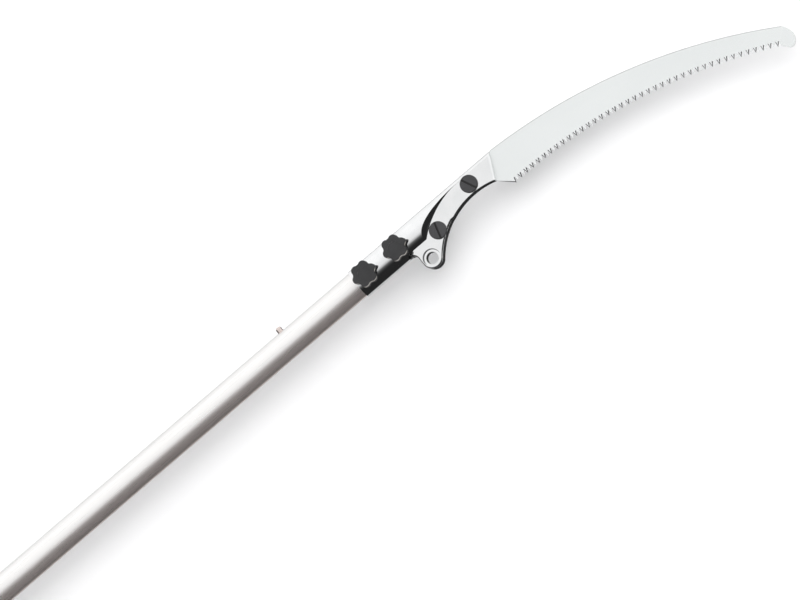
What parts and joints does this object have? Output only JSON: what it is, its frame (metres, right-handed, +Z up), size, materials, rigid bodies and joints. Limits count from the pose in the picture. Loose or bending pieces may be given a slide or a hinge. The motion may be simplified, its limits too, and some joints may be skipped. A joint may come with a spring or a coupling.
{
  "type": "telescoping pole saw",
  "caption": "Telescoping pole saw with a curved toothed blade in a polished cast head, lobed clamp knobs, and an oval aluminium pole that slides and locks with a cam lever.",
  "frame": {"origin": "centre of the flat face of the cap on the pole's lower end", "axes": "+Z up the pole towards the blade, +X towards the blade's teeth, -Y the side of the knobs"},
  "size_m": [0.1484, 0.0558, 2.0056],
  "materials": {
    "anodised_aluminium": "satin anodised, fine lengthwise grain",
    "nylon": "natural moulded nylon",
    "collar_plastic": "moulded, fine texture",
    "lever_plastic": "moulded, satin",
    "zinc_steel": "zinc plated",
    "spring_steel": "tempered strip",
    "grip_rubber": "matte ribbed rubber",
    "polished_chrome": "polished bright",
    "blade_steel": "ground and plated",
    "black_bolt": "satin black",
    "knob_plastic": "moulded, fine texture",
    "button_steel": "satin, slightly coppery"
  },
  "bodies": {
    "lower_pole": {"lower_tube": "anodised_aluminium", "collar_bush": "nylon", "collar_body": "collar_plastic", "collar_screws": "zinc_steel", "lever_pin": "zinc_steel", "hand_grip": "grip_rubber", "end_cap": "collar_plastic"},
    "upper_pole": {"upper_tube": "anodised_aluminium", "glide_plug": "nylon", "saw_head": "polished_chrome", "saw_blade": "blade_steel", "blade_bolts": "black_bolt", "blade_washers": "zinc_steel", "blade_nuts": "zinc_steel", "knob_nuts": "zinc_steel", "button_spring": "spring_steel"},
    "snap_button": {"snap_button": "button_steel"},
    "clamp_lever": {"clamp_lever": "lever_plastic"},
    "clamp_shoe": {"clamp_shoe": "nylon"},
    "lower_washer": {"knob_washer_lower": "zinc_steel"},
    "upper_washer": {"knob_washer_upper": "zinc_steel"},
    "lower_knob": {"knob_lower": "knob_plastic", "knob_stud_lower": "zinc_steel"},
    "upper_knob": {"knob_upper": "knob_plastic", "knob_stud_upper": "zinc_steel"}
  },
  "joints": [
    {"name": "pole_slide", "type": "slide", "parent": "lower_pole", "child": "upper_pole", "axis": [0, 0, 1], "range_m": [-0.53, 0]},
    {"name": "lever_swing", "type": "hinge", "parent": "lower_pole", "child": "clamp_lever", "pos_m": [0.033, 0, 0.738], "axis": [0, -1, 0], "range_deg": [0, 110]},
    {"name": "shoe_press", "type": "slide", "parent": "lower_pole", "child": "clamp_shoe", "axis": [1, 0, 0], "range_m": [0, 0.00092]},
    {"name": "button_press", "type": "slide", "parent": "upper_pole", "child": "snap_button", "axis": [1, 0, 0], "range_m": [0, 0.006], "stiffness_N_per_m": 600, "springref_m": -0.003, "deforming": ["button_spring"]},
    {"name": "lower_washer_slide", "type": "slide", "parent": "upper_pole", "child": "lower_washer", "axis": [0, -1, 0], "range_m": [0, 0.0025]},
    {"name": "lower_knob_turn", "type": "hinge", "parent": "lower_washer", "child": "lower_knob", "pos_m": [0, 0, 1.4315], "axis": [0, -1, 0], "range_deg": [0, 735]},
    {"name": "upper_washer_slide", "type": "slide", "parent": "upper_pole", "child": "upper_washer", "axis": [0, -1, 0], "range_m": [0, 0.0025]},
    {"name": "upper_knob_turn", "type": "hinge", "parent": "upper_washer", "child": "upper_knob", "pos_m": [0, 0, 1.4792], "axis": [0, -1, 0], "range_deg": [0, 735]}
  ],
  "couplings": [
    {"joint": "shoe_press", "follows": "lever_swing", "m_per_rad": 0.00046878},
    {"joint": "lower_knob_turn", "follows": "lower_washer_slide", "rad_per_m": 5026.5},
    {"joint": "upper_knob_turn", "follows": "upper_washer_slide", "rad_per_m": 5026.5}
  ]
}
